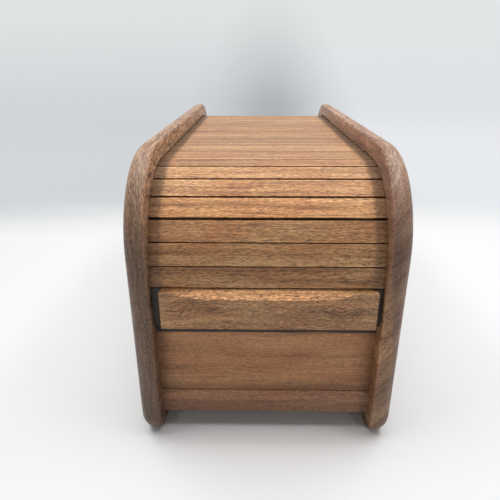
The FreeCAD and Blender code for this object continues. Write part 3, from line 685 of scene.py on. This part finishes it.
# Painted shadow of the bar: a line under it, and the whole height up to the lid past its ends.
shadow_foot = BAR_SHADOW_FOOT + waver(xs, 33, 0.5, 50)[:, None]
low_shade_top = LOW_SHADE_HEIGHT + waver(xs, 35, 1.2, 60)[:, None]
in_line = 1 - step(z, BAR_SHADOW_TOP, BAR_SHADOW_TOP + 1.2)
past_bar = step(np.abs(x), DARK_FROM, DARK_FROM + 2.0)
bar_shadow = step(z, shadow_foot - 0.3, shadow_foot + 0.5) * np.maximum(in_line, past_bar)
# Painted shade in the corners beside the sides and in a band above the rail.
corners = 1 - CORNER_SHADE_DARKER * np.exp(-((INSIDE / 2 - np.abs(x)) / CORNER_REACH) ** 2)
low_shade = 1 - LOW_SHADE_DARKER * (1 - step(z, low_shade_top, low_shade_top + LOW_SHADE_FADE))
make_piece("walnut_front_panel", [panel * MM], panel_walnut, "case", ["front_panel"],
           [panel[..., [0, 2, 1]] + (-220, 330, 40)],
           (PANEL_TONE * corners * low_shade * (1 - BAR_SHADOW_DARKER * bar_shadow)).ravel(), crease=30)
print("panel points:", panel.shape[0] * panel.shape[1])

# %% [markdown]
# ## Canvas
# The lid hangs together on cotton canvas, a plain weave with threads about 0.6 mm apart, stiff
# with glue. It is behind the slats and shows from inside and when the lid is open. The real one
# is a single sheet. Here it is cut at each joint, so each length rides on its own slat. The two
# directions of thread are two waves; where both are high, a thread crosses on top. A wave repeats
# every 0.31 mm divided by its Scale, so a Scale of 0.52 gives the 0.6 mm.

# %% Cotton canvas
cotton, tree, shader = new_material("cotton canvas")
thread_place = add(tree, "ShaderNodeAttribute", out=1, attribute_name="plank")
warp, weft = [add(tree, "ShaderNodeTexWave",
                  {"Vector": thread_place, "Scale": 0.52, "Distortion": 0.6, "Detail Scale": 0.4},
                  out=1, bands_direction=way) for way in ("X", "Y")]
weave = add(tree, "ShaderNodeMath", {0: warp, 1: weft}, operation="MULTIPLY")
slub = add(tree, "ShaderNodeTexNoise", {"Vector": thread_place, "Scale": 0.08, "Detail": 3.0})
dirt = add(tree, "ShaderNodeMix", {"Factor": 0.35, 2: weave, 3: slub}, data_type="FLOAT")
cloth = add(tree, "ShaderNodeValToRGB", {"Fac": dirt}, stops=[(0.12, "#8F7D62"), (0.7, "#C6B592")])
# The tone darkens the side facing the wood: glue, and painted shade of the gaps.
glue_and_shade = add(tree, "ShaderNodeAttribute", out=2, attribute_name="tone")
cloth = add(tree, "ShaderNodeHueSaturation", {"Color": cloth, "Value": glue_and_shade})
threads = add(tree, "ShaderNodeBump", {"Height": weave, "Distance": 0.0002, "Strength": 0.8})
tree.links.new(cloth, shader.inputs["Base Color"])
tree.links.new(threads, shader.inputs["Normal"])
shader.inputs["Roughness"].default_value = 0.92
shader.inputs["Specular IOR Level"].default_value = 0.25
print("canvas material:", cotton.name)

# %% Lengths of canvas
CLEAR_OF_GROOVE, CUT = 8, 0.12
# The wood side of the canvas is painted dark: glue, and painted shade of the gaps.
BARE, GLUE_AND_GAP_SHADE = 1.0, 0.12


def canvas(name, body, start, end, replaced):
    """A length of canvas: a thin closed slab on the chord from start to end along the lid, cut a little
    short at both ends. The side that faces the wood is painted dark: glue, and painted shade in the gaps
    between the slats."""
    reach = (end - start) / 2 - CUT
    width = INSIDE / 2 - CLEAR_OF_GROOVE
    thick = CLOTH / 2
    corners = [(-thick, -reach), (thick, -reach), (thick, reach), (-thick, reach)]
    slab = along_x(np.linspace(-width, width, 9), eased(corners, 0.1, 3))
    piece = make_piece(name, [seated(slab, start, end)], cotton, body, replaced,
                       [slab[..., [0, 2, 1]] + (0, start, 0)],
                       np.where(slab[..., 1] > 0, GLUE_AND_GAP_SHADE, BARE).ravel())


canvas("canvas_behind_lead", "lead", -LEAD, 0.0, ["canvas_lead"])
turning = [*range(1, FIRST_ON_TOP), *range(LAST_ON_TOP + 1, SLATS + 1)]
for number in turning:
    canvas("canvas_behind_%02d" % number, "slat_%02d" % number, (number - 1) * PITCH, number * PITCH,
           ["canvas_%02d" % number] if number < FIRST_ON_TOP else [])
canvas("canvas_behind_top", "lid_run", (FIRST_ON_TOP - 1) * PITCH, LAST_ON_TOP * PITCH,
       ["canvas_run"])
print("lengths of canvas:", len(turning) + 2)

# %% [markdown]
# ## Case
# The sides, back rail and boards keep the machined shape. Their meshes come in as loose triangles,
# so a Weld modifier joins them and an Edge Split one keeps only real edges sharp, which lets the
# big rounded fronts shade smoothly. The sides are cut with the grain from front to back, so their
# fronts are end grain: growth layers stand nearly upright in the left one and lean in the right.

# %% Case finishes
FINISHES = {"left_side": side_walnut_left, "right_side": side_walnut_right,
            "back_rail": back_walnut, "inner_back": back_walnut, "bottom_board": inside_walnut,
            "lid_stops": inside_walnut}
for name, material in FINISHES.items():
    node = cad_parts[name]
    node.data.materials.clear()
    node.data.materials.append(material)
    node.data.polygons.foreach_set("use_smooth", np.ones(len(node.data.polygons), bool))
    weld = node.modifiers.new("weld", "WELD")
    weld.merge_threshold = 1e-6
    split = node.modifiers.new("real edges", "EDGE_SPLIT")
    split.split_angle = math.radians(24)
print("case nodes dressed:", len(FINISHES))

# %% [markdown]
# ## Table, backdrop and light
# The box stands on a white sweep under soft light from above. The front is darker than the top,
# because it only sees the table and the room. A wide panel on the ceiling does that, with a strip
# at each side that lights the rounded sides, and two small lamps far in front that give the slats
# a little sheen. The sweep is white where it is the table and pale grey where it rises, lighter on
# the right, with a soft shadow behind the box.

# %% Sweep
ACROSS, ALONG = 9, 60
FRONT_EDGE, FLAT, RADIUS, LENGTH = -2.4, 3.6, 0.9, 7.0

# Along the sweep: flat, then a quarter circle from the angle distance / radius, then straight up.
across, share = np.meshgrid(np.linspace(-4, 4, ACROSS), np.linspace(0, 1, ALONG), indexing="ij")
distance = share * LENGTH
bent = np.clip((distance - FLAT) / RADIUS, 0, math.pi / 2)
y = FRONT_EDGE + np.minimum(distance, FLAT) + RADIUS * np.sin(bent)
z = RADIUS * (1 - np.cos(bent)) + np.maximum(distance - FLAT - RADIUS * math.pi / 2, 0)
points = np.stack([across, y, z], -1).reshape(-1, 3)
i, j = np.meshgrid(np.arange(ACROSS - 1), np.arange(ALONG - 1), indexing="ij")
start = i * ALONG + j
quads = np.stack([start, start + ALONG, start + ALONG + 1, start + 1], -1).reshape(-1, 4)
mesh = bpy.data.meshes.new("sweep")
mesh.from_pydata(points, [], quads.tolist())
mesh.polygons.foreach_set("use_smooth", np.ones(len(mesh.polygons), bool))
sweep = bpy.data.objects.new("sweep", mesh)
bpy.context.scene.collection.objects.link(sweep)
sweep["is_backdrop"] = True
print("sweep faces:", len(mesh.polygons))

# %% [markdown]
# The paper is lit near the box, where it has to take the shadow. Away from it, and where it rises
# behind, the picture needs the even grey of the photographed wall, which light alone doesn't give.
# So there the shader turns to a plain glow, but only for rays that the camera sees, straight, in a
# gloss or through glass. The box is lit by the real paper everywhere. How far a place is from the
# box is its distance from the footprint, at any height.

# %% Paper
FOOTPRINT_HALF = (0.09, 0.20, 9)
GLOW_REACH = 0.45


def picture_rays(tree):
    """1 for rays that the camera sees straight, in a gloss or through glass: the highest of three."""
    straight, mirrored, through = [add(tree, "ShaderNodeLightPath", out=kind) for kind in (
        "Is Camera Ray", "Is Glossy Ray", "Is Transmission Ray")]
    seen = add(tree, "ShaderNodeMath", {0: straight, 1: mirrored}, operation="MAXIMUM")
    return add(tree, "ShaderNodeMath", {0: seen, 1: through}, operation="MAXIMUM")


paper, tree, shader = new_material("white paper sweep")
shader.inputs["Base Color"].default_value = colour("#F8F8F8")
shader.inputs["Roughness"].default_value = 0.8
shader.inputs["Specular IOR Level"].default_value = 0.2
place = add(tree, "ShaderNodeTexCoord", out=3)
back = add(tree, "ShaderNodeSeparateXYZ", {"Vector": place}, out=1)
behind = add(tree, "ShaderNodeMapRange", {0: back, 1: 0.16, 2: 0.42, 3: 0.0, 4: 1.0},
             interpolation_type="SMOOTHSTEP")
apart = add(tree, "ShaderNodeVectorMath", {0: place}, operation="ABSOLUTE")
apart = add(tree, "ShaderNodeVectorMath", {0: apart, 1: FOOTPRINT_HALF}, operation="SUBTRACT")
apart = add(tree, "ShaderNodeVectorMath", {0: apart, 1: (0, 0, 0)}, operation="MAXIMUM")
apart = add(tree, "ShaderNodeVectorMath", {0: apart}, out=1, operation="LENGTH")
apart = add(tree, "ShaderNodeMapRange", {0: apart, 1: 0.0, 2: GLOW_REACH, 3: 0.0, 4: 1.0})
around = add(tree, "ShaderNodeMath", {0: apart, 1: 0.45}, operation="POWER")
away = add(tree, "ShaderNodeMath", {0: behind, 1: around}, operation="MAXIMUM")
glowing = add(tree, "ShaderNodeMath", {0: away, 1: picture_rays(tree)}, operation="MULTIPLY")
print("paper nodes:", len(tree.nodes))

# %% [markdown]
# The glow is three ramps multiplied. One follows the way back: white table, pale wall. One goes from
# left to right, because the wall is darker on the left, and a ramp of greys fades that difference
# out on the table and high up. The last is the soft shadow behind the box, a ramp of the distance
# from a place where the paper starts to rise. That distance is stretched across and shrunk upwards,
# so the shadow is narrow and tall.

# %% Glow
SHADOW_AT, SHADOW_STRETCH, SHADOW_REACH = (0.06, 1.45, 0.02), (1.55, 0.6, 0.75), 0.55
haze = add(tree, "ShaderNodeMapRange", {0: back, 1: 0.2, 2: 2.0, 3: 0.0, 4: 1.0})
wall = add(tree, "ShaderNodeValToRGB", {"Fac": haze}, stops=[
    (0.0, "#FBFCFC"), (0.02, "#F8F9FA"), (0.09, "#E8EBEE"), (0.35, "#E9EBEE"), (0.62, "#E6E8EB"),
    (0.77, "#DFE2E5"), (1.0, "#E3E5E6")])
across = add(tree, "ShaderNodeSeparateXYZ", {"Vector": place}, out=0)
aside = add(tree, "ShaderNodeMapRange", {0: across, 1: -0.9, 2: 0.9, 3: 0.0, 4: 1.0})
sided = add(tree, "ShaderNodeValToRGB", {"Fac": aside}, stops=[
    (0.0, "#E8E9E8"), (0.36, "#E7E8E8"), (0.7, "#FFFFFF"), (1.0, "#FFFFFF")])
upright = add(tree, "ShaderNodeValToRGB", {"Fac": haze}, stops=[
    (0.0, "#A0A0A0"), (0.06, "#FFFFFF"), (0.62, "#FFFFFF"), (0.77, "#D0D0D0"), (0.91, "#A5A5A5"),
    (1.0, "#595959")])
near = add(tree, "ShaderNodeVectorMath", {0: place, 1: SHADOW_AT}, operation="SUBTRACT")
near = add(tree, "ShaderNodeVectorMath", {0: near, 1: SHADOW_STRETCH}, operation="MULTIPLY")
near = add(tree, "ShaderNodeVectorMath", {0: near}, out=1, operation="LENGTH")
near = add(tree, "ShaderNodeMapRange", {0: near, 1: 0.0, 2: SHADOW_REACH, 3: 0.0, 4: 1.0})
shadow = add(tree, "ShaderNodeValToRGB", {"Fac": near}, stops=[
    (0.0, "#CCCECD"), (0.17, "#D1D3D2"), (0.28, "#D9DBDA"), (0.52, "#EBECEC"), (0.75, "#F7F7F7"),
    (1.0, "#FFFFFF")])
for amount, wash in ((upright, sided), (1.0, shadow)):
    wall = add(tree, "ShaderNodeMix", {"Factor": amount, 6: wall, 7: wash}, out=2,
               data_type="RGBA", blend_type="MULTIPLY")
glow = add(tree, "ShaderNodeEmission", {"Color": wall, "Strength": 1.0})
mixed = add(tree, "ShaderNodeMixShader", {0: glowing, 1: shader.outputs[0], 2: glow})
tree.links.new(mixed, tree.nodes["Material Output"].inputs["Surface"])
sweep.data.materials.append(paper)
print("paper nodes:", len(tree.nodes))

# %% [markdown]
# The room adds a weak even light from all around, so no shadow is black. What the camera sees past
# the sweep is a plain pale grey instead, by the same test of rays. Each lamp is given by where it
# hangs and what it is aimed at, in metres, its width and depth, and its watts.

# %% Light
ROOM_LIGHT = 0.17
world = bpy.data.worlds.new("white room")
world.use_nodes = True
tree = world.node_tree
room = tree.nodes["Background"]
room.inputs["Color"].default_value = colour("#F4F7FA")
room.inputs["Strength"].default_value = ROOM_LIGHT
pale = add(tree, "ShaderNodeBackground", {"Color": colour("#DDE0E0"), "Strength": 1.0})
both = add(tree, "ShaderNodeMixShader", {0: picture_rays(tree), 1: room.outputs[0], 2: pale})
tree.links.new(both, tree.nodes["World Output"].inputs["Surface"])
bpy.context.scene.world = world

LAMPS = {"ceiling panel": ((0.0, 0.03, 1.05), (0.0, 0.03, 0.0), 0.9, 1.1, 4.6),
         "ceiling strip left": ((-0.53, 0.03, 1.0), (-0.05, 0.03, 0.15), 0.20, 1.1, 5.4),
         "ceiling strip right": ((0.53, 0.03, 1.0), (0.05, 0.03, 0.15), 0.20, 1.1, 5.4),
         "front lamp left": ((-0.42, -1.10, 0.80), (0.0, -0.19, 0.09), 0.12, 0.12, 0.7),
         "front lamp right": ((0.42, -1.10, 0.80), (0.0, -0.19, 0.09), 0.12, 0.12, 0.7)}
for name, (place, aim, wide, deep, power) in LAMPS.items():
    lamp = bpy.data.lights.new(name, "AREA")
    lamp.shape, lamp.size, lamp.size_y, lamp.energy = "RECTANGLE", wide, deep, power
    hung = bpy.data.objects.new(name, lamp)
    hung.location = place
    hung.rotation_euler = (Vector(aim) - Vector(place)).to_track_quat("-Z", "X").to_euler()
    bpy.context.scene.collection.objects.link(hung)
bpy.context.scene.view_settings.view_transform = "Standard"
print("lamps:", len(LAMPS))

# %% [markdown]
# ## Size and finish
# The last step measures the whole object again.

# %% Size and finish
low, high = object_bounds()
